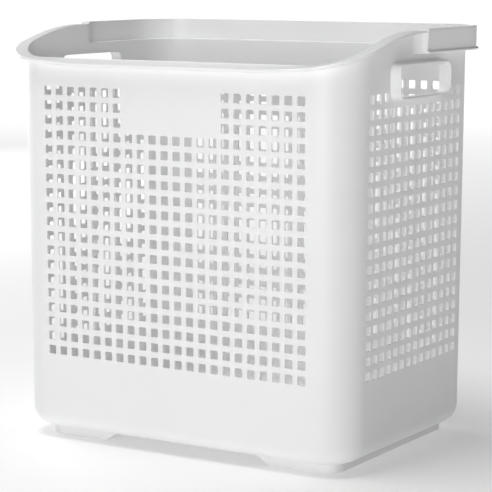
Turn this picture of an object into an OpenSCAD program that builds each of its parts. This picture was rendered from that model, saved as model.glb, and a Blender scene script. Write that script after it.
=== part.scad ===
// Stackable perforated laundry basket: one open, gently tapered tub in white plastic.
// The top edge is low at the front and rises along both sides in a long curve.
// A stepped band round the back half carries a second basket.
// X runs to the right, Y to the back and Z up. Lengths are in millimetres.

/* [Body] */
// Width across the side walls, halfway up
body_w = 388; // [388:1:430]
// Depth across the front and back walls, halfway up
body_d = 278; // [278:1:310]
// Height from the ground to the top of the stacking band
total_h = 422; // [422:1:440]
// Wall thickness of the moulding
wall = 2.2; // [1.8:0.1:3]
// Outward lean of every wall, in degrees
draft = 0.5; // [0.2:0.1:0.8]
// Radius of the four upright corners, halfway up
corner_r = 42; // [38:1:42]
// Radius between the walls and the floor
base_r = 20; // [14:1:22]

/* [Holes] */
// Width of one square vent hole
hole_w = 8.4; // [6:0.2:9]
// Height of one vent hole
hole_h = 8.8; // [6:0.2:9]
// Spacing of the holes along a wall
pitch_w = 14; // [14:0.5:20]
// Spacing of the holes up a wall
pitch_h = 14.7; // [12:0.1:14.7]
// Number of rows of holes
hole_rows = 19; // [6:1:19]
// Depth of the top row of holes below the top of the band
top_row_drop = 63.7; // [62:0.1:66]
// Number of columns left out of the top rows, in the middle of the front and back
plain_cols = 8; // [0:1:12]
// Number of top rows with the plain field
plain_rows = 3; // [0:1:6]

/* [Rim] */
// Width of the rim flange outside the wall
rim_out = 11; // [8:0.5:12]
// Thickness of the rim flange
rim_t = 3.2; // [2:0.1:4]
// Depth of the flange's flat top below the top of the band
rim_drop = 2; // [1:0.5:4]
// Radius of the long curve of the top edge, seen from the side
rim_arc_r = 297; // [280:1:340]

/* [Stacking band] */
// Height of the band
band_h = 24; // [18:0.5:30]
// Width of the small lip outside the foot of the band
band_lip = 2.4; // [1:0.2:4]
// Distance of the band's front end in front of the tub's middle
band_start = 11; // [6:1:20]

/* [Handles] */
// Length of a hand opening
grip_w = 105; // [90:1:112]
// Height of a hand opening
grip_h = 30.6; // [26:0.2:31]
// Corner radius of a hand opening
grip_r = 7; // [4:0.5:12]
// Thickness of the collar round a hand opening
collar_t = 2; // [1.5:0.1:2.4]
// Depth of a hand opening's middle below the top of the band
grip_drop = 49; // [48.5:0.1:49]

/* [Foot rails] */
// Height of the foot rails
foot_h = 10; // [6:0.5:14]
// Distance from a corner's axis to the outer face of its rail
foot_r = 19; // [17:0.5:19.5]
// Width of a rail
foot_w = 15; // [10:0.5:16]
// Distance from the middle to the foot of a front return's sloping end
foot_gap = 98; // [80:1:110]
// Sideways run of that sloping end
foot_slope = 16; // [8:1:20]
// Distance from the tub's middle to the back end of a rail
foot_back = 109; // [90:1:112]

/* [Hidden] */
$fn = 96;
plastic = "whitesmoke";

lean = tan(draft);
mid_z = total_h - 196;
ledge_z = total_h - band_h;
rim_z = total_h - rim_drop;
// The upright axes that the corners turn about, and the straight runs between them.
axis_x = body_w / 2 - corner_r;
axis_y = body_d / 2 - corner_r;
// Outer face of a wall, measured outwards from the corner axes.
function face_r(z) = corner_r + (z - mid_z) * lean;
// The same at the ledge, which the rim and the band are set out from.
top_r = face_r(ledge_z);
slant_wall = wall / cos(draft);
// The rounding between walls and floor: its upper edge, its centre, and its flat facets.
base_z = foot_h + base_r;
base_c = face_r(base_z) - base_r / cos(draft);
base_steps = 10;
// The handle panels start halfway between the two top rows of holes.
top_row_z = total_h - top_row_drop;
split_z = top_row_z - pitch_h / 2;
grip_z = total_h - grip_drop;
// The curve of the top edge starts to fall where the band's front end starts.
rim_arc_z = rim_z - rim_arc_r;
// The origin is under the middle of the whole object, so the tub sits a little forward of it.
tub_y = -band_lip / 2;
// Length of the bars that cut through a wall.
cut = 30;

function arc(cx, cy, r, from, to) =
    [for (k = [0:base_steps])
        let (a = from + (to - from) * k / base_steps)
        [cx + r * cos(a), cy + r * sin(a)]];

// Upright section of a wall. x is the distance from the corner axis.
function wall_section(bottom, top) = [
    [face_r(bottom), bottom], [face_r(top), top],
    [face_r(top) - slant_wall, top], [face_r(bottom) - slant_wall, bottom]
];

// Section of the rounding between a wall and the floor.
function base_section() = concat(
    arc(base_c, base_z, base_r, -90, -draft),
    [[face_r(base_z), base_z], [face_r(base_z) - slant_wall, base_z]],
    arc(base_c, base_z, base_r - wall, -draft, -90));

function columns(run) = floor((run - hole_w) / pitch_w) + 1;

// Turns a shape made for the right-hand side so that it faces the given way.
module facing(turn) {
    translate([0, tub_y, 0]) rotate([0, 0, turn]) children();
}

// A straight run of section, facing right, at the given distance from the tub's middle.
module straight(reach, run) {
    translate([reach, run / 2, 0]) rotate([90, 0, 0]) linear_extrude(run) children();
}

// A quarter turn of section about the corner axis, in the back right corner.
module quarter(x, y) {
    translate([x, y, 0]) rotate_extrude(angle = 90) children();
}

// One vent hole through a wall that faces right.
module hole(reach, y, z) {
    translate([reach + top_r - cut / 2, y - hole_w / 2, z - hole_h / 2])
        cube([cut, hole_w, hole_h]);
}

// The grid of vent holes of a wall. The middle columns of the first rows stay plain.
module hole_grid(reach, run, first_row, gap_cols, gap_rows) {
    n = columns(run);
    for (i = [0:n - 1], j = [first_row:hole_rows - 1]) {
        c = i - (n - 1) / 2;
        if (j >= gap_rows || abs(c) > gap_cols / 2)
            hole(reach, c * pitch_w, top_row_z - j * pitch_h);
    }
}

// Space under the rim flange, as a long bar across the tub, over the front half.
module under_rim(drop) {
    translate([-body_w, tub_y, 0]) rotate([90, 0, 90]) linear_extrude(2 * body_w)
        rim_profile(drop);
}

module rim_profile(drop) {
    intersection() {
        translate([-band_start, rim_arc_z]) circle(r = rim_arc_r - drop, $fn = 360);
        translate([-body_d, 0]) square([body_d - band_start, total_h]);
    }
}

// The curved sheet that the rim flange is cut from.
module rim_sheet() {
    translate([-body_w, tub_y, 0]) rotate([90, 0, 90]) linear_extrude(2 * body_w)
        difference() {
            rim_profile(0);
            translate([-band_start, rim_arc_z])
                circle(r = rim_arc_r - rim_t, $fn = 360);
        }
}

module front_wall() {
    intersection() {
        difference() {
            facing(-90) straight(axis_y, 2 * axis_x) polygon(wall_section(base_z, rim_z));
            facing(-90) hole_grid(axis_y, 2 * axis_x, 0, plain_cols, plain_rows);
        }
        under_rim(rim_t);
    }
}

module back_wall() {
    difference() {
        facing(90) straight(axis_y, 2 * axis_x) polygon(wall_section(base_z, ledge_z));
        facing(90) hole_grid(axis_y, 2 * axis_x, 0, plain_cols, plain_rows);
    }
}

// Perforated lower part of a side wall.
module side_wall(turn) {
    difference() {
        facing(turn) straight(axis_x, 2 * axis_y) polygon(wall_section(base_z, split_z));
        facing(turn) hole_grid(axis_x, 2 * axis_y, 1, 0, 0);
    }
}

// Rounded outline of a hand opening, made larger by grow all round.
module grip_outline(grow) {
    w = grip_w / 2 - grip_r;
    h = grip_h / 2 - grip_r;
    r = grip_r + grow;
    union() {
        square([2 * (w + r), 2 * h], center = true);
        square([2 * w, 2 * (h + r)], center = true);
        for (x = [-w, w], y = [-h, h]) translate([x, y]) circle(r = r);
    }
}

// A bar through both faces of the side wall that faces right, with the given outline.
module grip_bar(from, to) {
    translate([from, 0, grip_z]) rotate([90, 0, 90]) linear_extrude(to - from) children();
}

// Plain upper part of a side wall, with the hand opening. side is 1 right and -1 left.
module handle_wall(side) {
    reach = axis_x + top_r;
    difference() {
        intersection() {
            facing(90 - 90 * side) straight(axis_x, 2 * axis_y)
                polygon(wall_section(split_z, rim_z));
            union() {
                under_rim(rim_t);
                translate([-body_w, tub_y - band_start, 0])
                    cube([2 * body_w, body_d, ledge_z]);
            }
        }
        facing(90 - 90 * side) {
            grip_bar(reach - cut, reach + cut) grip_outline(collar_t);
            for (y = [-1, 1], c = [0.5, 1.5])
                hole(axis_x, y * (columns(2 * axis_y) / 2 - c) * pitch_w, top_row_z);
        }
    }
}

// Collar round a hand opening, from the wall's inner face out as far as the rim flange.
module collar(side) {
    inner = axis_x + face_r(grip_z) - slant_wall;
    facing(90 - 90 * side)
        grip_bar(inner, axis_x + top_r + rim_out)
            difference() {
                grip_outline(collar_t);
                grip_outline(0);
            }
}

// A front corner of the tub, below the flange.
module front_corner(side) {
    intersection() {
        translate([0, tub_y, 0]) mirror([side > 0 ? 0 : 1, 0, 0])
            mirror([0, 1, 0]) quarter(axis_x, axis_y) polygon(wall_section(base_z, rim_z));
        under_rim(rim_t);
    }
}

// A back corner of the tub, below the band's ledge.
module back_corner(side) {
    translate([0, tub_y, 0]) mirror([side > 0 ? 0 : 1, 0, 0])
        quarter(axis_x, axis_y) polygon(wall_section(base_z, ledge_z));
}

// Flat floor with the rounding that turns up into the walls all round it.
module pan() {
    translate([0, tub_y, foot_h]) linear_extrude(wall) {
        square([2 * (axis_x + base_c), 2 * axis_y], center = true);
        square([2 * axis_x, 2 * (axis_y + base_c)], center = true);
        for (x = [-axis_x, axis_x], y = [-axis_y, axis_y])
            translate([x, y]) circle(r = base_c);
    }
    for (turn = [0, 180]) {
        facing(turn) straight(axis_x, 2 * axis_y) polygon(base_section());
        facing(turn + 90) straight(axis_y, 2 * axis_x) polygon(base_section());
    }
    for (x = [0, 1], y = [0, 1])
        translate([0, tub_y, 0]) mirror([x, 0, 0]) mirror([0, y, 0])
            quarter(axis_x, axis_y) polygon(base_section());
}

// Flat section of the flange, high enough to be cut to the curved sheet.
module rim_strip() {
    translate([top_r - wall, foot_h]) square([wall + rim_out, total_h]);
}

module rim_front() {
    intersection() {
        facing(-90) straight(axis_y, 2 * axis_x) rim_strip();
        rim_sheet();
    }
}

module rim_corner(side) {
    intersection() {
        translate([0, tub_y, 0]) mirror([side > 0 ? 0 : 1, 0, 0])
            mirror([0, 1, 0]) quarter(axis_x, axis_y) rim_strip();
        rim_sheet();
    }
}

// Flange along a side: the curved stretch, and its level end over the band's front end.
module rim_side(side) {
    intersection() {
        facing(90 - 90 * side) straight(axis_x, 2 * axis_y) rim_strip();
        rim_sheet();
    }
    translate([0, tub_y, rim_z - rim_t]) mirror([side > 0 ? 0 : 1, 0, 0])
        linear_extrude(rim_t) intersection() {
            band_turn(0);
            end_square(0, rim_out);
        }
}

// Plan of the band's front end, where the wall swings out in a quarter circle.
module band_turn(bore) {
    translate([axis_x + top_r + rim_out, -band_start]) difference() {
        circle(r = rim_out + wall);
        if (bore > 0) circle(r = bore);
    }
}

// Plan of the stretch that the front end takes up, between two distances along the wall.
module end_square(from, to) {
    translate([axis_x + top_r - wall, from - band_start])
        square([rim_out + wall, to - from]);
}

// Upright section of the band: a level ledge with a lip, and a wall on it.
module band_section() {
    translate([top_r - wall, ledge_z]) square([wall + rim_out + band_lip, wall]);
    translate([top_r + rim_out - wall, ledge_z]) square([wall, band_h]);
}

module band_side(side) {
    front_y = rim_out - band_start;
    run = axis_y - front_y;
    translate([0, tub_y, 0]) mirror([side > 0 ? 0 : 1, 0, 0]) {
        translate([0, front_y + run / 2, 0]) straight(axis_x, run) band_section();
        translate([0, 0, ledge_z]) {
            linear_extrude(wall) difference() {
                end_square(0, rim_out);
                translate([axis_x + top_r + rim_out, -band_start]) circle(r = rim_out);
            }
            linear_extrude(rim_z - rim_t - ledge_z) intersection() {
                band_turn(rim_out);
                end_square(0, rim_out);
            }
            linear_extrude(band_h) intersection() {
                band_turn(rim_out);
                end_square(rim_out, rim_out + wall);
            }
        }
    }
}

module band_corner(side) {
    translate([0, tub_y, 0]) mirror([side > 0 ? 0 : 1, 0, 0])
        quarter(axis_x, axis_y) band_section();
}

// A rail down one side that turns the front corner and ends in a slope.
module foot_rail(side) {
    outer = axis_y + foot_r;
    translate([0, tub_y, 0]) mirror([side > 0 ? 0 : 1, 0, 0]) {
        translate([axis_x + foot_r - foot_w, -axis_y, 0])
            cube([foot_w, axis_y + foot_back, foot_h]);
        mirror([0, 1, 0]) quarter(axis_x, axis_y)
            translate([foot_r - foot_w, 0]) square([foot_w, foot_h]);
        translate([0, foot_w - outer, 0]) rotate([90, 0, 0]) linear_extrude(foot_w)
            polygon([
                [foot_gap, 0], [axis_x, 0],
                [axis_x, foot_h], [foot_gap - foot_slope, foot_h]
            ]);
    }
}

module front_panel() { color(plastic) front_wall(); }
module back_panel() { color(plastic) back_wall(); }
module left_panel() { color(plastic) side_wall(180); }
module right_panel() { color(plastic) side_wall(0); }
module left_handle_panel() { color(plastic) handle_wall(-1); }
module right_handle_panel() { color(plastic) handle_wall(1); }
module left_handle_collar() { color(plastic) collar(-1); }
module right_handle_collar() { color(plastic) collar(1); }
module front_left_corner() { color(plastic) front_corner(-1); }
module front_right_corner() { color(plastic) front_corner(1); }
module back_left_corner() { color(plastic) back_corner(-1); }
module back_right_corner() { color(plastic) back_corner(1); }
module floor_pan() { color(plastic) pan(); }
module front_rim() { color(plastic) rim_front(); }
module front_left_rim() { color(plastic) rim_corner(-1); }
module front_right_rim() { color(plastic) rim_corner(1); }
module left_rim() { color(plastic) rim_side(-1); }
module right_rim() { color(plastic) rim_side(1); }
module back_band() { color(plastic) facing(90) straight(axis_y, 2 * axis_x) band_section(); }
module back_left_band() { color(plastic) band_corner(-1); }
module back_right_band() { color(plastic) band_corner(1); }
module left_band() { color(plastic) band_side(-1); }
module right_band() { color(plastic) band_side(1); }
module left_foot_rail() { color(plastic) foot_rail(-1); }
module right_foot_rail() { color(plastic) foot_rail(1); }

front_panel();
back_panel();
left_panel();
right_panel();
left_handle_panel();
right_handle_panel();
left_handle_collar();
right_handle_collar();
front_left_corner();
front_right_corner();
back_left_corner();
back_right_corner();
floor_pan();
front_rim();
front_left_rim();
front_right_rim();
left_rim();
right_rim();
back_band();
back_left_band();
back_right_band();
left_band();
right_band();
left_foot_rail();
right_foot_rail();
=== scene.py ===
import math

import bmesh
import bpy
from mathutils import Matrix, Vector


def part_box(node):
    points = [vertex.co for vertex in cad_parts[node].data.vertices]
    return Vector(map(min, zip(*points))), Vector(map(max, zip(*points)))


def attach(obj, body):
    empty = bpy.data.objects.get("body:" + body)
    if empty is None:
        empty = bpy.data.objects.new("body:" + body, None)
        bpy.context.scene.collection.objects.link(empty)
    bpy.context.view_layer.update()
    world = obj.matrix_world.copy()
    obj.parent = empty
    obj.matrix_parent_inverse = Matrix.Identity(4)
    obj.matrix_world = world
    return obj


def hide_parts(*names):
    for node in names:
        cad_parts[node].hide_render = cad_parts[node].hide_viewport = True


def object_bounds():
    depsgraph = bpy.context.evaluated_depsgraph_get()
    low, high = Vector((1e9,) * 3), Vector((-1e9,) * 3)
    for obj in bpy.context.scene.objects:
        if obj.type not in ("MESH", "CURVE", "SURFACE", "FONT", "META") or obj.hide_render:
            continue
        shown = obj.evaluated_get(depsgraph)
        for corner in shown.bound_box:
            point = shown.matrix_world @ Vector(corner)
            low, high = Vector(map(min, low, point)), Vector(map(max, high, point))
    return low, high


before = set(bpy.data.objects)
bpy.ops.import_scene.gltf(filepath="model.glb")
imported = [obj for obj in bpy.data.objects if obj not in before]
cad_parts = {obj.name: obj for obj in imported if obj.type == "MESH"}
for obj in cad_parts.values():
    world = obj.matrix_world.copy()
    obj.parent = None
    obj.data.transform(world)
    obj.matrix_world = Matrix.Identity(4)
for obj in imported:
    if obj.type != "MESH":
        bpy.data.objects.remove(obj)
cad_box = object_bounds()

MM = 0.001
# Points nearer than this are one point, in metres.
WELD = 0.000001

# The tub, as in the CAD: upright corner axes, and walls that lean out from them. Millimetres.
front_lo, front_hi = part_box("front_panel")
right_lo, right_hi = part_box("right_panel")
AXIS_X = front_hi.x / MM
AXIS_Y = (right_hi.y - right_lo.y) / 2 / MM
TUB_Y = (right_hi.y + right_lo.y) / 2 / MM
LEAN = math.tan(math.radians(0.5))
CORNER_R = 42
MID_Z = 226
WALL = 2.2
FLOOR_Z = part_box("floor_pan")[0].z / MM
BASE_R = 20

# Vent holes.
HOLE_W, HOLE_H = 8.4, 8.8
PITCH_W, PITCH_H = 14, 14.7
ROWS = 19
TOP_ROW_Z = 358.3
HOLE_R = 1.1
# The soft outside edge of a hole.
HOLE_EDGE = 0.4
# The block without holes in the front and the back, and the columns under a hand opening.
PLAIN_COLS, PLAIN_ROWS = 8, 3
GRIP_COLS = 8
# Plain rows between the rounding of the base and the holes.
LOW_ROWS = (48, 68)

# Rim, and the band that carries a second basket. The band starts START in front of the middle.
BAND_TOP = cad_box[1].z / MM
RIM_TOP = BAND_TOP - 2
RIM_OUT = 11
RIM_T = 3.2
ARC_R = 297
START = 11
LEDGE_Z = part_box("back_band")[0].z / MM
LIP = 2.4
# The groove between the lip and the band's face.
LIP_GROOVE_D, LIP_GROOVE_H = 1.3, 1.1
# The band's raised front end, the groove behind it, the face's soft edge and the long turn inside.
END_RAISED = 0.5
END_GROOVE_FROM, END_GROOVE_TO, END_GROOVE_D = 0.4, 3, 2
FACE_EDGE = 0.8
INSIDE_TURN = 17
# Where the holed wall ends and the section of the rim begins.
SHOULDER = 393

# Hand openings.
GRIP_W, GRIP_H, GRIP_R = 105, 30.6, 7
GRIP_Z = 373
COLLAR_T = 2

# Foot rails. A front return's sloping end begins at FOOT_BEND.
FOOT_OUT, FOOT_W = 19, 15
FOOT_GAP, FOOT_SLOPE, FOOT_BACK = 98, 16, 109
FOOT_BEND = 130


def face_r(z):
    """Outer face of a wall, outwards from the corner axes."""
    return CORNER_R + (z - MID_Z) * LEAN


def smooth(t):
    t = min(1, max(0, t))
    return t * t * (3 - 2 * t)


def mix(a, b, t):
    return a + (b - a) * t


class Builder:
    """Collects the points and faces of one piece, in millimetres."""

    def __init__(self):
        self.points = []
        self.faces = []

    def point(self, x, y, z):
        self.points.append((x * MM, (y + TUB_Y) * MM, z * MM))
        return len(self.points) - 1

    def face(self, *corners):
        self.faces.append(corners)

    def band(self, low, high, flip=False, closed=False):
        """Quads between two rows of points."""
        n = len(low)
        for i in range(n if closed else n - 1):
            k = (i + 1) % n
            if flip:
                self.face(low[i], high[i], high[k], low[k])
            else:
                self.face(low[i], low[k], high[k], high[i])

    def piece(self, name, material):
        mesh = bpy.data.meshes.new(name)
        mesh.from_pydata(self.points, [], self.faces)
        welded = bmesh.new()
        welded.from_mesh(mesh)
        bmesh.ops.remove_doubles(welded, verts=welded.verts, dist=WELD)
        welded.to_mesh(mesh)
        welded.free()
        mesh.validate()
        mesh.polygons.foreach_set("use_smooth", [True] * len(mesh.polygons))
        mesh.set_sharp_from_angle(angle=math.radians(38))
        mesh.materials.append(material)
        piece = bpy.data.objects.new(name, mesh)
        bpy.context.scene.collection.objects.link(piece)
        weigh = piece.modifiers.new("normals", "WEIGHTED_NORMAL")
        weigh.mode = "FACE_AREA"
        weigh.keep_sharp = True
        return piece


class Station:
    """One place on the way round the tub, anticlockwise from above: its foot on the corner axes, its
    outward direction, how far along the outline it is from the front wall's end, and its wall."""

    def __init__(self, foot, out, along, side=None):
        self.foot = foot
        self.out = out
        self.along = along
        self.side = side

    def at(self, builder, reach, z):
        x = self.foot[0] + self.out[0] * reach
        y = self.foot[1] + self.out[1] * reach
        return builder.point(x, y, z)


def columns(half):
    return int((2 * half - HOLE_W) / PITCH_W) + 1


def run_lines(half):
    """Lines across one wall: each column's left edge, and the flat part of its hole's edges."""
    count = columns(half)
    flat = HOLE_W / 2 - HOLE_R
    lines = []
    for k in range(count):
        middle = (k - (count - 1) / 2) * PITCH_W
        lines += [max(middle - PITCH_W / 2, -half), middle - flat, middle + flat]
    return lines + [half]


CORNER_STEPS = 14
CORNER_ARC = math.pi / 2 * face_r(LEDGE_Z)


def ring():
    """The stations, and the index at which each wall starts."""
    stations = []
    starts = {}
    walls = [
        ("front", AXIS_X, (0, -1), lambda u: (u, -AXIS_Y)),
        ("right", AXIS_Y, (1, 0), lambda u: (AXIS_X, u)),
        ("back", AXIS_X, (0, 1), lambda u: (-u, AXIS_Y)),
        ("left", AXIS_Y, (-1, 0), lambda u: (-AXIS_X, -u)),
    ]
    for name, half, out, foot in walls:
        starts[name] = len(stations)
        for u in run_lines(half):
            if name == "front":
                along = abs(u) - half
            else:
                along = CORNER_ARC + foot(u)[1] + AXIS_Y
            stations.append(Station(foot(u), out, along, name))
        base = math.atan2(out[1], out[0])
        for k in range(1, CORNER_STEPS):
            turn = k / CORNER_STEPS
            angle = base + turn * math.pi / 2
            along = CORNER_ARC * (turn if name == "front" else 1 - turn)
            if name in ("right", "back"):
                along = CORNER_ARC + 2 * AXIS_Y
            corner = foot(half)
            stations.append(Station(corner, (math.cos(angle), math.sin(angle)), along))
    return stations, starts


def turn_feet():
    """Where the extra stations go along a side: round the quarter circle of the band's end, and
    across the groove and the soft edge behind it."""
    turn = (0, 12, 24, 36, 47, 57, 66, 74, 80, 85)
    feet = [RIM_OUT * math.sin(math.radians(a)) - START for a in turn]
    feet += [0.03, 0.15, 0.38, 0.42, 1.6, 2.97, 3.03, 3.3, 3.7, 4.2, 4.8, 5.3, 5.7, 6, 7]
    return feet + [8.2, 9.5, 11]


def rim_height(y):
    """Height of the curved top edge over a distance y from the tub's middle."""
    return RIM_TOP - ARC_R + math.sqrt(ARC_R ** 2 - min(0, y + START) ** 2)


def band_face(y):
    """Outer face of the band: its raised end, the groove behind it, then the face's soft edge."""
    if y < END_GROOVE_FROM:
        return RIM_OUT + END_RAISED * min(1, y / 0.15)
    if y < END_GROOVE_TO:
        return RIM_OUT - END_GROOVE_D
    bend = max(0, 1 - (y - END_GROOVE_TO) / FACE_EDGE)
    return RIM_OUT - FACE_EDGE * (1 - math.sqrt(1 - bend ** 2))


def in_band(station):
    """Whether the band passes this station: all the back, and the sides from the band's start."""
    beside = station.side in ("left", "right") and station.foot[1] > -START
    return beside or station.side == "back" or station.foot[1] > 0


def spread(low, high, count):
    """count values evenly spaced between low and high, neither included."""
    return [low + (high - low) * (k + 1) / (count + 1) for k in range(count)]


def levels(station):
    """Heights at one station: the rim's inner edge, the ledge's underside, the holed wall's top."""
    inner = station.foot[1] + station.out[1] * (face_r(LEDGE_Z) - WALL)
    rim = rim_height(inner)
    ledge = min(LEDGE_Z, rim - RIM_T - 6.5)
    return rim, ledge, min(SHOULDER, ledge - 2)


def section(station):
    """Section of the rim or band at one station, from the outer face over the top to the inner face.
    Points are offsets from the wall's outer face, and heights."""
    rim, ledge, _ = levels(station)
    y = station.foot[1]
    banded = in_band(station)
    standing = banded and y > 0
    # The flange droops along the front, and thins out towards the band.
    depth = 3.8 + 4.1 * smooth((30 - station.along) / 80) - 1.6 * smooth((station.along - 100) / 65)
    thick = min(RIM_T, depth - 0.3)
    slope = depth - thick
    if not banded:
        outer = 0
        inner = -WALL
        top_in = rim
        top_out = rim - slope
        wall_top = rim
    else:
        reach = min(RIM_OUT + WALL, y + START)
        if y < 0:
            outer = RIM_OUT - math.sqrt(max(0, RIM_OUT ** 2 - reach ** 2))
        else:
            outer = band_face(y)
        # Inside, the turn is longer, and leaves the band's end thick.
        inner = RIM_OUT - WALL - RIM_OUT * math.sqrt(max(0, 1 - min(1, (y + START) / INSIDE_TURN) ** 2))
        top_in = top_out = BAND_TOP
        if y < 0:
            top_in, top_out = RIM_TOP, RIM_TOP - slope
        wall_top = mix(RIM_TOP, BAND_TOP, smooth((y + 5) / 5)) if y < 0 else BAND_TOP

    def top_at(offset):
        return mix(top_in, top_out, (offset + WALL) / (RIM_OUT + WALL))

    points = []
    # Under the ledge, round its lip and up to the foot of the band.
    if banded:
        lip = (outer if y < 0 else RIM_OUT) + LIP * smooth((y + 9) / 8)
        root = min(1.2, lip / 2)
        edge = min(0.7, lip / 2)
        # A groove parts the lip from the face, which has a rounded lower corner at its front end.
        cut = min(outer, RIM_OUT - LIP_GROOVE_D * smooth(y / 0.3))
        near = min(1, max(0, (11 - y) / 8))
        lift = LIP_GROOVE_H + 5.5 * (1 - math.sqrt(1 - near ** 2)) if y > 0 else 0.2
        points += [(0, ledge - 1.2), (root * 0.3, ledge - 0.36), (root, ledge)]
        points += [(lip - edge, ledge), (lip, ledge + edge), (lip, ledge + WALL - edge)]
        points += [(max(lip - edge, cut + min(0.02, lip / 4)), ledge + WALL), (cut, ledge + WALL + 0.1)]
        points += [(cut, ledge + WALL + 0.1 + lift), (outer, ledge + WALL + 0.4 + lift)]
    else:
        under = top_at(0) - thick - 1.2
        points += [(0, z) for z in spread(ledge - 1.8, under, 10)]
    # Up the outer face, out under the flange and round its lip.
    if standing:
        points += [(outer, z) for z in spread(points[-1][1], BAND_TOP - 1.5, 5)]
    else:
        under = top_at(outer) - thick
        root = min(1.2, (RIM_OUT - outer) / 2)
        edge = min(0.9, (RIM_OUT - outer) / 2)
        low = top_out - thick
        points += [(outer, under - 1.2), (outer + root * 0.3, under - 0.36), (outer + root, under - 0.02)]
        points += [(RIM_OUT - edge, low), (RIM_OUT, low + min(0.9, thick / 3))]
    brim = outer if standing else RIM_OUT
    edge = min(1.5, brim - inner - 0.65) if standing else 0.8
    for a in (0, 22.5, 45, 67.5, 90):
        a = math.radians(a)
        points.append((brim - edge * (1 - math.cos(a)), top_out - edge * (1 - math.sin(a))))
    # Across the top and round the inner edge.
    if standing:
        points += [(mix(brim - edge, inner + 0.6, share), wall_top) for share in (0.4, 0.7)]
    else:
        points += [(min(outer + 0.2, RIM_OUT - edge), top_at(outer)), (outer - 0.2, wall_top)]
    points += [(inner + 0.6, wall_top), (inner + 0.18, wall_top - 0.18), (inner, wall_top - 0.6)]
    # Down the inner face, across the ledge and over its edge to the tub.
    if banded:
        root = min(1, (inner + WALL) / 2)
        edge = min(0.6, (inner + WALL) / 2)
        shelf = LEDGE_Z + WALL
        points += [(inner, shelf + 1), (inner - root * 0.3, shelf + 0.3), (inner - root, shelf)]
        points += [(edge - WALL, shelf), (edge * 0.3 - WALL, shelf - 0.18), (-WALL, shelf - 0.6)]
    else:
        points += [(-WALL, z) for z in spread(wall_top - 0.6, ledge - 1.8, 6)]
    return points


def base_rows():
    """Distances and heights of the rounding between floor and walls, outside and inside."""
    centre = face_r(FLOOR_Z + BASE_R) - BASE_R
    rows = []
    steps = 9
    for k in range(steps + 1):
        a = math.radians(-90 + 90 * k / steps)
        outside = (centre + BASE_R * math.cos(a), FLOOR_Z + BASE_R * (1 + math.sin(a)))
        inside_r = BASE_R - WALL
        inside = (centre + inside_r * math.cos(a), FLOOR_Z + BASE_R + inside_r * math.sin(a))
        rows.append((outside, inside))
    return rows


def grid_heights():
    """Heights of the rows through the holes, from the bottom, three for each row of holes."""
    flat = HOLE_H / 2 - HOLE_R
    heights = []
    for k in range(ROWS):
        middle = TOP_ROW_Z - (ROWS - 1 - k) * PITCH_H
        heights += [middle - PITCH_H / 2, middle - flat, middle + flat]
    return heights + [TOP_ROW_Z + PITCH_H / 2]


def rounded_loop(half_w, half_h, radius):
    """Twelve points of a small rounded rectangle, matched to the twelve points of a cell's edge."""
    loop = []
    bend = radius * math.sqrt(0.5)
    for sx, sz in ((-1, -1), (1, -1), (1, 1), (-1, 1)):
        cx, cz = half_w - radius, half_h - radius
        down = (sx * cx, sz * half_h)
        middle = (sx * (cx + bend), sz * (cz + bend))
        across = (sx * half_w, sz * cz)
        loop += [across, middle, down] if sx * sz > 0 else [down, middle, across]
    return loop


def cell_edge(i, j):
    """The same twelve points of a cell's edge, as steps from its lower left corner."""
    steps = [(0, 1), (0, 0), (1, 0), (2, 0), (3, 0), (3, 1), (3, 2), (3, 3), (2, 3), (1, 3), (0, 3), (0, 2)]
    return [(i + a, j + b) for a, b in steps]


def wall_point(builder, station, u, z, offset):
    """A point on a straight wall, u along it from the wall's middle."""
    along = (-station.out[1], station.out[0])
    x = (AXIS_X if station.out[0] else 0) * station.out[0] + along[0] * u
    y = (AXIS_Y if station.out[1] else 0) * station.out[1] + along[1] * u
    reach = face_r(z) + offset
    return builder.point(x + station.out[0] * reach, y + station.out[1] * reach, z)


def add_hole(builder, station, rows, edge, u, z):
    """One vent hole: a rounded edge outside, and a straight way through the wall."""
    face = rounded_loop(HOLE_W / 2 + HOLE_EDGE, HOLE_H / 2 + HOLE_EDGE, HOLE_R + HOLE_EDGE)
    bore = rounded_loop(HOLE_W / 2, HOLE_H / 2, HOLE_R)
    loops = [[wall_point(builder, station, u + a, z + b, 0) for a, b in face]]
    loops.append([wall_point(builder, station, u + a, z + b, -HOLE_EDGE) for a, b in bore])
    loops.append([wall_point(builder, station, u + a, z + b, -WALL) for a, b in bore])
    outside = [rows[0][j][i] for i, j in edge]
    inside = [rows[1][j][i] for i, j in edge]
    chain = [outside] + loops + [inside]
    for a, b in zip(chain, chain[1:]):
        builder.band(a, b, closed=True)


def grip_outline(points, grow):
    """The rounded outline of a hand opening, one point for each point given round it."""
    half_w = GRIP_W / 2 + grow
    half_h = GRIP_H / 2 + grow
    radius = GRIP_R + grow
    cx, cz = half_w - radius, half_h - radius
    corner = [abs(u) > cx and abs(v) > cz for u, v in points]
    n = len(points)
    outline = []
    for k, (u, v) in enumerate(points):
        if not corner[k]:
            if abs(u) <= cx:
                outline.append((u, math.copysign(half_h, v)))
            else:
                outline.append((math.copysign(half_w, u), v))
            continue
        before = after = 0
        while corner[(k - before - 1) % n]:
            before += 1
        while corner[(k + after + 1) % n]:
            after += 1
        turn = (before + 1) / (before + after + 2) * math.pi / 2
        # Anticlockwise: each corner starts from the direction that its first neighbour faces.
        start = {(1, -1): -math.pi / 2, (1, 1): 0, (-1, 1): math.pi / 2, (-1, -1): math.pi}
        angle = start[(1 if u > 0 else -1, 1 if v > 0 else -1)] + turn
        outline.append((math.copysign(cx, u) + radius * math.cos(angle),
                        math.copysign(cz, v) + radius * math.sin(angle)))
    return outline


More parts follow.
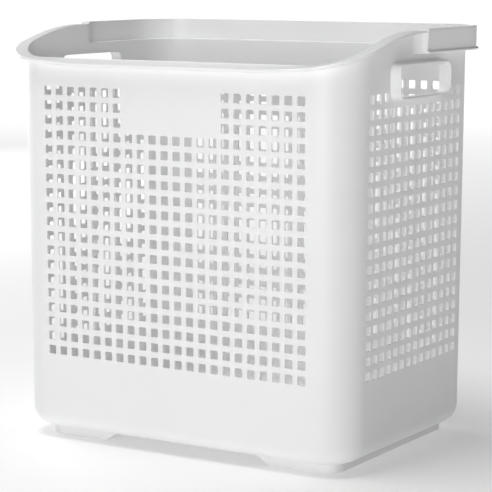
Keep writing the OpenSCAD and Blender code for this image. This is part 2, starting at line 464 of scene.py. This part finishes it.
def build_shell(material):
    """The whole moulding but its foot rails, as one closed skin."""
    b = Builder()
    stations, starts = ring()
    n = len(stations)
    heights = grid_heights()
    base = base_rows()
    rows = ([], [])
    for outside, inside in base:
        rows[0].append([s.at(b, *outside) for s in stations])
        rows[1].append([s.at(b, *inside) for s in stations])
    for z in [*LOW_ROWS, *heights]:
        rows[0].append([s.at(b, face_r(z), z) for s in stations])
        rows[1].append([s.at(b, face_r(z) - WALL, z) for s in stations])
    first = len(base) + len(LOW_ROWS)
    last_z = heights[-1]
    for share in (0.18, 0.36, 0.52, 0.68, 0.84, 1):
        for side in (0, 1):
            row = []
            for s in stations:
                z = mix(last_z, levels(s)[2], share)
                row.append(s.at(b, face_r(z) - side * WALL, z))
            rows[side].append(row)
    top = len(rows[0]) - 1

    skip = set()
    for name, half in (("front", AXIS_X), ("right", AXIS_Y), ("back", AXIS_X), ("left", AXIS_Y)):
        count = columns(half)
        for k in range(count):
            i = starts[name] + 3 * k
            middle = k - (count - 1) / 2
            for r in range(ROWS):
                from_top = ROWS - 1 - r
                if name in ("front", "back"):
                    plain = from_top < PLAIN_ROWS and abs(middle) < PLAIN_COLS / 2
                else:
                    plain = from_top == 0 and abs(middle) < GRIP_COLS / 2
                if plain:
                    continue
                j = first + 3 * r
                skip.update((i + a, j + c) for a in range(3) for c in range(3))
                z = TOP_ROW_Z - from_top * PITCH_H
                add_hole(b, stations[i], rows, cell_edge(i, j), middle * PITCH_W, z)

    # The hand openings, each in the block of plain wall round it.
    for name in ("right", "left"):
        i0 = starts[name] + 3 * (columns(AXIS_Y) - GRIP_COLS) // 2
        i1 = i0 + 3 * GRIP_COLS
        j0 = first + 3 * (ROWS - 1)
        skip.update((i, j) for i in range(i0, i1) for j in range(j0, top))
        edge = [(i, j0) for i in range(i0, i1)] + [(i1, j) for j in range(j0, top)]
        edge += [(i, top) for i in range(i1, i0, -1)] + [(i0, j) for j in range(top, j0, -1)]
        station = stations[i0]
        turn = station.out[0]
        flat = []
        for i, j in edge:
            x, y, z = b.points[rows[0][j][i]]
            flat.append(((y / MM - TUB_Y) * turn, z / MM - GRIP_Z))
        # From a fillet on the wall out along the collar, round its lip and back through the opening.
        collar = [
            (COLLAR_T + 2.6, 0), (COLLAR_T + 1.7, 0.04), (COLLAR_T + 0.85, 0.3), (COLLAR_T + 0.3, 0.85),
            (COLLAR_T + 0.05, 1.7), (COLLAR_T, RIM_OUT - 0.7), (COLLAR_T - 0.2, RIM_OUT - 0.2),
            (COLLAR_T - 0.7, RIM_OUT), (0.7, RIM_OUT), (0.2, RIM_OUT - 0.2), (0, RIM_OUT - 0.7),
            (0, 0.6 - WALL), (0.18, 0.18 - WALL), (0.6, -WALL),
        ]
        loops = []
        for grow, offset in collar:
            outline = grip_outline(flat, grow)
            loops.append([wall_point(b, station, u, GRIP_Z + v, offset) for u, v in outline])
        chain = [[rows[0][j][i] for i, j in edge]] + loops + [[rows[1][j][i] for i, j in edge]]
        for low, high in zip(chain, chain[1:]):
            b.band(low, high, closed=True)

    for side in (0, 1):
        for j in range(top):
            low, high = rows[side][j], rows[side][j + 1]
            for i in range(n):
                if (i, j) in skip:
                    continue
                k = (i + 1) % n
                if side:
                    b.face(low[i], high[i], high[k], low[k])
                else:
                    b.face(low[i], low[k], high[k], high[i])
    b.face(*reversed(rows[0][0]))
    b.face(*rows[1][0])

    # Rim and band, with the extra stations put in where the band's front end turns.
    upper = []
    for i, s in enumerate(stations):
        upper.append((s, i))
        if s.side in ("left", "right"):
            following = stations[(i + 1) % n]
            if following.side == s.side:
                low, high = sorted((s.foot[1], following.foot[1]))
                extra = [y for y in turn_feet() if low + 0.05 < y < high - 0.05]
                for y in sorted(extra, reverse=s.side == "left"):
                    along = CORNER_ARC + y + AXIS_Y
                    upper.append((Station((s.foot[0], y), s.out, along, s.side), None))
    profile = []
    for s, _ in upper:
        profile.append([s.at(b, face_r(z) + offset, z) for offset, z in section(s)])
    m = len(profile)
    for i in range(m):
        b.band(profile[i], profile[(i + 1) % m], flip=True)
    anchors = [k for k, (_, i) in enumerate(upper) if i is not None]
    for k, at in enumerate(anchors):
        to = anchors[(k + 1) % len(anchors)]
        span = list(range(at, to + 1)) if to > at else [at, to]
        i, j = upper[at][1], upper[to][1]
        above = [profile[c][0] for c in reversed(span)]
        b.face(rows[0][top][i], rows[0][top][j], *above)
        within = [profile[c][-1] for c in span]
        b.face(rows[1][top][j], rows[1][top][i], *within)
    return b.piece("basket_shell", material)


def build_rail(side, material):
    """One foot rail: down the side, round the front corner, and a sloping end at the front."""
    b = Builder()
    middle = FOOT_OUT - FOOT_W / 2
    half = FOOT_W / 2
    path = []
    for y in (FOOT_BACK, FOOT_BACK - 0.3, FOOT_BACK - 1, FOOT_BACK - 4, 60, 0, -60, -AXIS_Y + 4):
        path.append(((AXIS_X, y), (1, 0)))
    steps = 14
    for k in range(steps + 1):
        a = math.radians(-90 * k / steps)
        path.append(((AXIS_X, -AXIS_Y), (math.cos(a), math.sin(a))))
    for x in (AXIS_X - 4, FOOT_BEND, FOOT_GAP + 4, FOOT_GAP + 1, FOOT_GAP + 0.3, FOOT_GAP):
        path.append(((x, -AXIS_Y), (0, -1)))
    profile = [
        (-half - 0.9, FLOOR_Z + 0.6), (-half - 0.9, FLOOR_Z),
        (-half - 0.3, FLOOR_Z - 0.3), (-half, FLOOR_Z - 1.1),
        (-half, 1), (-half + 0.3, 0.3), (-half + 1, 0),
        (half - 1, 0), (half - 0.3, 0.3), (half, 1),
        (half, FLOOR_Z - 1.1), (half + 0.3, FLOOR_Z - 0.3),
        (half + 0.9, FLOOR_Z), (half + 0.9, FLOOR_Z + 0.6),
    ]
    # The rail is set in a little at both ends, which rounds their edges.
    shrink = {0: 1, 1: 0.3, len(path) - 2: 0.3, len(path) - 1: 1}
    sections = []
    for k, (foot, out) in enumerate(path):
        inset = shrink.get(k, 0)
        points = []
        for across, z in profile:
            if z < FLOOR_Z - 0.5:
                across -= math.copysign(min(inset, abs(across)), across)
                z = max(z, inset * 0.7) if z < 0.9 else z
            reach = middle + across
            x = foot[0] + out[0] * reach
            y = foot[1] + out[1] * reach
            if foot[0] < FOOT_BEND:
                x -= FOOT_SLOPE * z / FLOOR_Z
            points.append(b.point(side * x, y, z))
        sections.append(points)
    for low, high in zip(sections, sections[1:]):
        b.band(low, high, flip=side < 0, closed=True)
    if side < 0:
        b.face(*sections[0])
        b.face(*reversed(sections[-1]))
    else:
        b.face(*reversed(sections[0]))
        b.face(*sections[-1])
    name = "right_rail" if side > 0 else "left_rail"
    return b.piece(name, material)


def white_plastic():
    """Satin white polypropylene: a fine moulded grain and slight clouding."""
    material = bpy.data.materials.new("white_polypropylene")
    material.use_nodes = True
    nodes = material.node_tree.nodes
    links = material.node_tree.links
    shader = nodes["Principled BSDF"]
    shader.inputs["IOR"].default_value = 1.49
    shader.inputs["Specular IOR Level"].default_value = 0.42
    # The thin walls let some light through.
    shader.inputs["Subsurface Weight"].default_value = 0.3
    shader.inputs["Subsurface Radius"].default_value = (1, 1, 1)
    shader.inputs["Subsurface Scale"].default_value = 0.003
    place = nodes.new("ShaderNodeTexCoord")

    cloud = nodes.new("ShaderNodeTexNoise")
    cloud.inputs["Scale"].default_value = 9
    cloud.inputs["Detail"].default_value = 3
    links.new(place.outputs["Object"], cloud.inputs["Vector"])
    tint = nodes.new("ShaderNodeValToRGB")
    tint.color_ramp.elements[0].position = 0.3
    tint.color_ramp.elements[0].color = (0.875, 0.877, 0.882, 1)
    tint.color_ramp.elements[1].position = 0.7
    tint.color_ramp.elements[1].color = (0.9, 0.9, 0.902, 1)
    links.new(cloud.outputs["Fac"], tint.inputs["Fac"])
    links.new(tint.outputs["Color"], shader.inputs["Base Color"])

    grain = nodes.new("ShaderNodeTexNoise")
    grain.inputs["Scale"].default_value = 1400
    grain.inputs["Detail"].default_value = 3
    links.new(place.outputs["Object"], grain.inputs["Vector"])
    gloss = nodes.new("ShaderNodeMapRange")
    gloss.inputs["From Min"].default_value = 0.3
    gloss.inputs["From Max"].default_value = 0.7
    gloss.inputs["To Min"].default_value = 0.36
    gloss.inputs["To Max"].default_value = 0.46
    links.new(cloud.outputs["Fac"], gloss.inputs["Value"])
    links.new(gloss.outputs["Result"], shader.inputs["Roughness"])
    bump = nodes.new("ShaderNodeBump")
    bump.inputs["Strength"].default_value = 0.12
    bump.inputs["Distance"].default_value = 0.0001
    links.new(grain.outputs["Fac"], bump.inputs["Height"])
    links.new(bump.outputs["Normal"], shader.inputs["Normal"])
    return material


def build_floor():
    """A pale floor, wide enough to fill the view. Its glow is painted light, faint near the tub and bright
    far off; it also lights the tub from below like a light table.
    """
    mesh = bpy.data.meshes.new("floor")
    steps = 64
    points = [(0, 0, 0)]
    radii = (0.6, 2, 8, 40, 200)
    for r in radii:
        for k in range(steps):
            a = 2 * math.pi * k / steps
            points.append((r * math.cos(a), r * math.sin(a), 0))
    faces = []
    for k in range(steps):
        j = (k + 1) % steps
        faces.append((0, 1 + k, 1 + j))
        for ring_k in range(len(radii) - 1):
            a = 1 + ring_k * steps
            faces.append((a + k, a + steps + k, a + steps + j, a + j))
    mesh.from_pydata(points, [], faces)
    floor = bpy.data.objects.new("floor", mesh)
    bpy.context.scene.collection.objects.link(floor)
    material = bpy.data.materials.new("pale_floor")
    material.use_nodes = True
    nodes = material.node_tree.nodes
    links = material.node_tree.links
    shader = nodes["Principled BSDF"]
    shader.inputs["Roughness"].default_value = 0.9
    shader.inputs["Specular IOR Level"].default_value = 0.1
    shader.inputs["Base Color"].default_value = (0.8, 0.8, 0.8, 1)
    shader.inputs["Emission Color"].default_value = (1, 1, 1, 1)
    place = nodes.new("ShaderNodeTexCoord")
    reach = nodes.new("ShaderNodeVectorMath")
    reach.operation = "LENGTH"
    links.new(place.outputs["Object"], reach.inputs[0])
    # Painted glow: the floor's emission rises from faint near the tub to bright far away.
    painted_glow = nodes.new("ShaderNodeMapRange")
    painted_glow.interpolation_type = "SMOOTHSTEP"
    painted_glow.inputs["From Min"].default_value = 0.6
    painted_glow.inputs["From Max"].default_value = 5
    painted_glow.inputs["To Min"].default_value = 0.24
    painted_glow.inputs["To Max"].default_value = 0.95
    links.new(reach.outputs["Value"], painted_glow.inputs["Value"])
    links.new(painted_glow.outputs["Result"], shader.inputs["Emission Strength"])
    mesh.materials.append(material)


def area_light(name, place, target, size, power):
    data = bpy.data.lights.new(name, "AREA")
    data.shape = "RECTANGLE"
    data.size, data.size_y = size
    data.energy = power
    light = bpy.data.objects.new(name, data)
    bpy.context.scene.collection.objects.link(light)
    light.location = place
    away = light.location.copy()
    for k in range(3):
        away[k] -= target[k]
    light.rotation_euler = away.to_track_quat("Z", "Y").to_euler()


def build_studio():
    """Three softboxes, low at the front right, low at the left and overhead, and a faint sky."""
    world = bpy.data.worlds.new("studio")
    world.use_nodes = True
    nodes = world.node_tree.nodes
    links = world.node_tree.links
    place = nodes.new("ShaderNodeTexCoord")
    height = nodes.new("ShaderNodeSeparateXYZ")
    links.new(place.outputs["Generated"], height.inputs[0])
    sky = nodes.new("ShaderNodeMapRange")
    sky.inputs["To Max"].default_value = 0.22
    links.new(height.outputs["Z"], sky.inputs["Value"])
    links.new(sky.outputs["Result"], nodes["Background"].inputs["Strength"])
    nodes["Background"].inputs["Color"].default_value = (1, 1, 1, 1)
    bpy.context.scene.world = world
    bpy.context.scene.view_settings.view_transform = "Standard"
    area_light("front_softbox", (0.85, -2.9, 0.48), (0, 0, 0.2), (1.2, 0.7), 31)
    area_light("left_softbox", (-2.6, 1.1, 0.8), (-0.2, 0.1, 0.2), (1.4, 1.2), 40)
    area_light("top_softbox", (-0.4, -0.6, 2.5), (0, 0, 0.3), (1.2, 1.2), 30)


def build_camera():
    data = bpy.data.cameras.new("camera")
    data.sensor_width = 36
    data.lens = 145.8
    camera = bpy.data.objects.new("camera", data)
    bpy.context.scene.collection.objects.link(camera)
    camera.location = (1.0758, -1.7342, 0.4884)
    camera.rotation_euler = (math.radians(90 - 8.195), 0, math.radians(31.83))
    bpy.context.scene.camera = camera


plastic = white_plastic()
pieces = {
    build_shell(plastic): [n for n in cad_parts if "rail" not in n],
    build_rail(1, plastic): ["right_foot_rail"],
    build_rail(-1, plastic): ["left_foot_rail"],
}
for piece, nodes in pieces.items():
    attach(piece, "root")
    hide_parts(*nodes)

build_floor()
build_camera()
build_studio()
